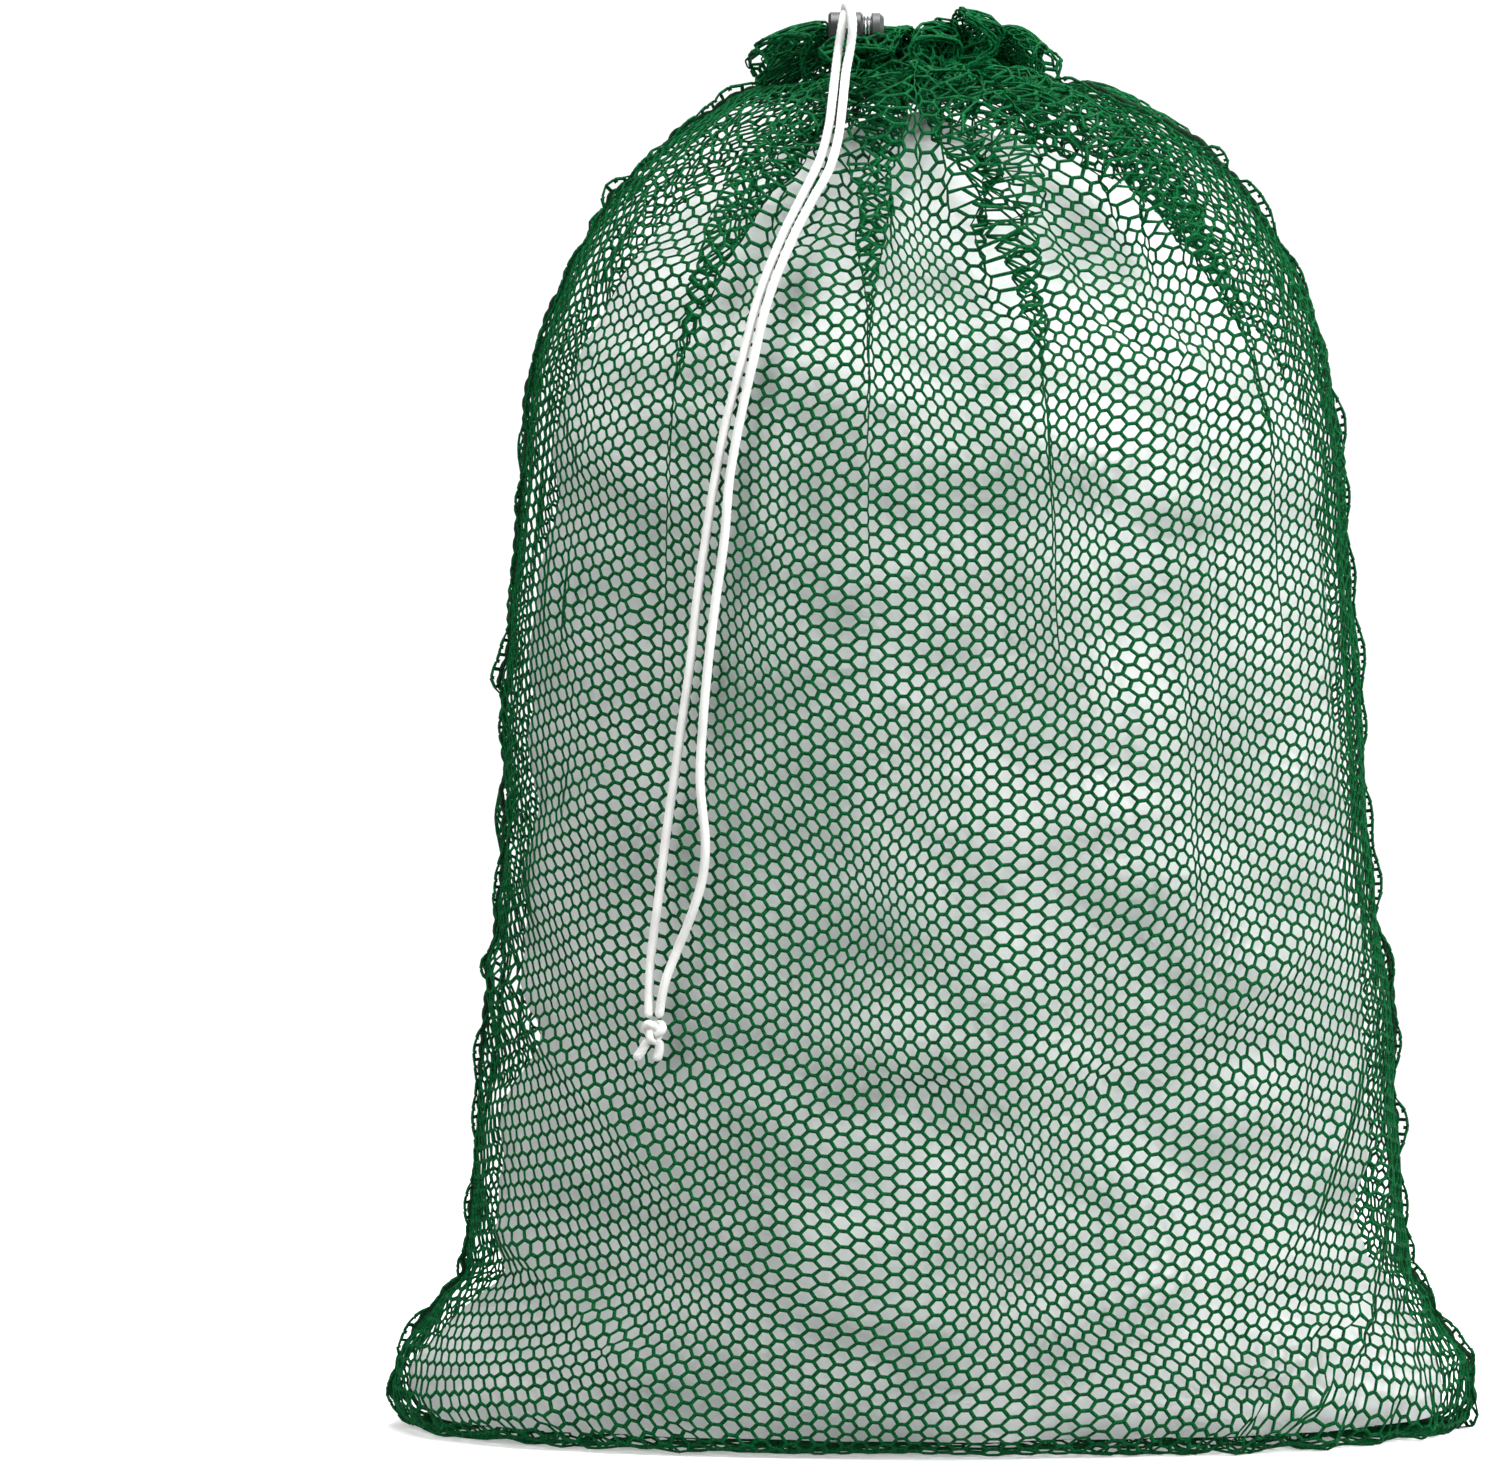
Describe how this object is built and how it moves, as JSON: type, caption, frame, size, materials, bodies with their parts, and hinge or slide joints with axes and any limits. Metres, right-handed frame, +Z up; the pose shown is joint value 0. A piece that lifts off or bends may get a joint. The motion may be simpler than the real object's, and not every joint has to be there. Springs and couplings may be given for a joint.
{
  "type": "mesh laundry bag",
  "caption": "Green net drawstring laundry bag, filled and standing, with a gathered neck, white cord and sprung cord lock.",
  "frame": {"origin": "on the floor, under the middle of the bag", "axes": "+Z up, +X to the right seen from the front, -Y the front, where the cord hangs"},
  "size_m": [0.552, 0.292, 0.7049],
  "materials": {
    "green_net": "warp-knitted polyester net, hexagonal holes",
    "green_seam": "overlocked seam in net",
    "green_thread": "polyester sewing thread",
    "white_cord": "braided polyester cord",
    "lock_barrel": "moulded, fine matt",
    "lock_button": "moulded, fine matt",
    "spring_steel": "drawn wire",
    "white_laundry": "washed cotton"
  },
  "bodies": {
    "bag": {"front_panel": "green_net", "back_panel": "green_net", "side_seam_left": "green_seam", "side_seam_right": "green_seam", "bottom_seam": "green_seam", "neck_casing": "green_net", "neck_gather": "green_net", "neck_frill": "green_net", "casing_stitching": "green_thread", "seam_stitching_left": "green_thread", "seam_stitching_right": "green_thread", "drawstring_loop": "white_cord", "drawstring_left_strand": "white_cord", "drawstring_right_strand": "white_cord", "drawstring_knot": "white_cord", "drawstring_left_tail": "white_cord", "drawstring_right_tail": "white_cord", "laundry_base": "white_laundry", "laundry_lower": "white_laundry", "laundry_middle": "white_laundry", "laundry_upper": "white_laundry", "laundry_shoulder": "white_laundry", "laundry_crown": "white_laundry"},
    "cord_lock": {"lock_barrel": "lock_barrel", "lock_spring": "spring_steel"},
    "lock_plunger": {"lock_button": "lock_button"}
  },
  "joints": [
    {"name": "lock_slide", "type": "slide", "parent": "bag", "child": "cord_lock", "axis": [0, -0.866, 0.5], "range_m": [0, 0.0035]},
    {"name": "button_press", "type": "slide", "parent": "cord_lock", "child": "lock_plunger", "axis": [-1, 0, 0], "range_m": [0, 0.0025], "stiffness_N_per_m": 900, "springref_m": -0.003, "deforming": ["lock_spring"]}
  ]
}
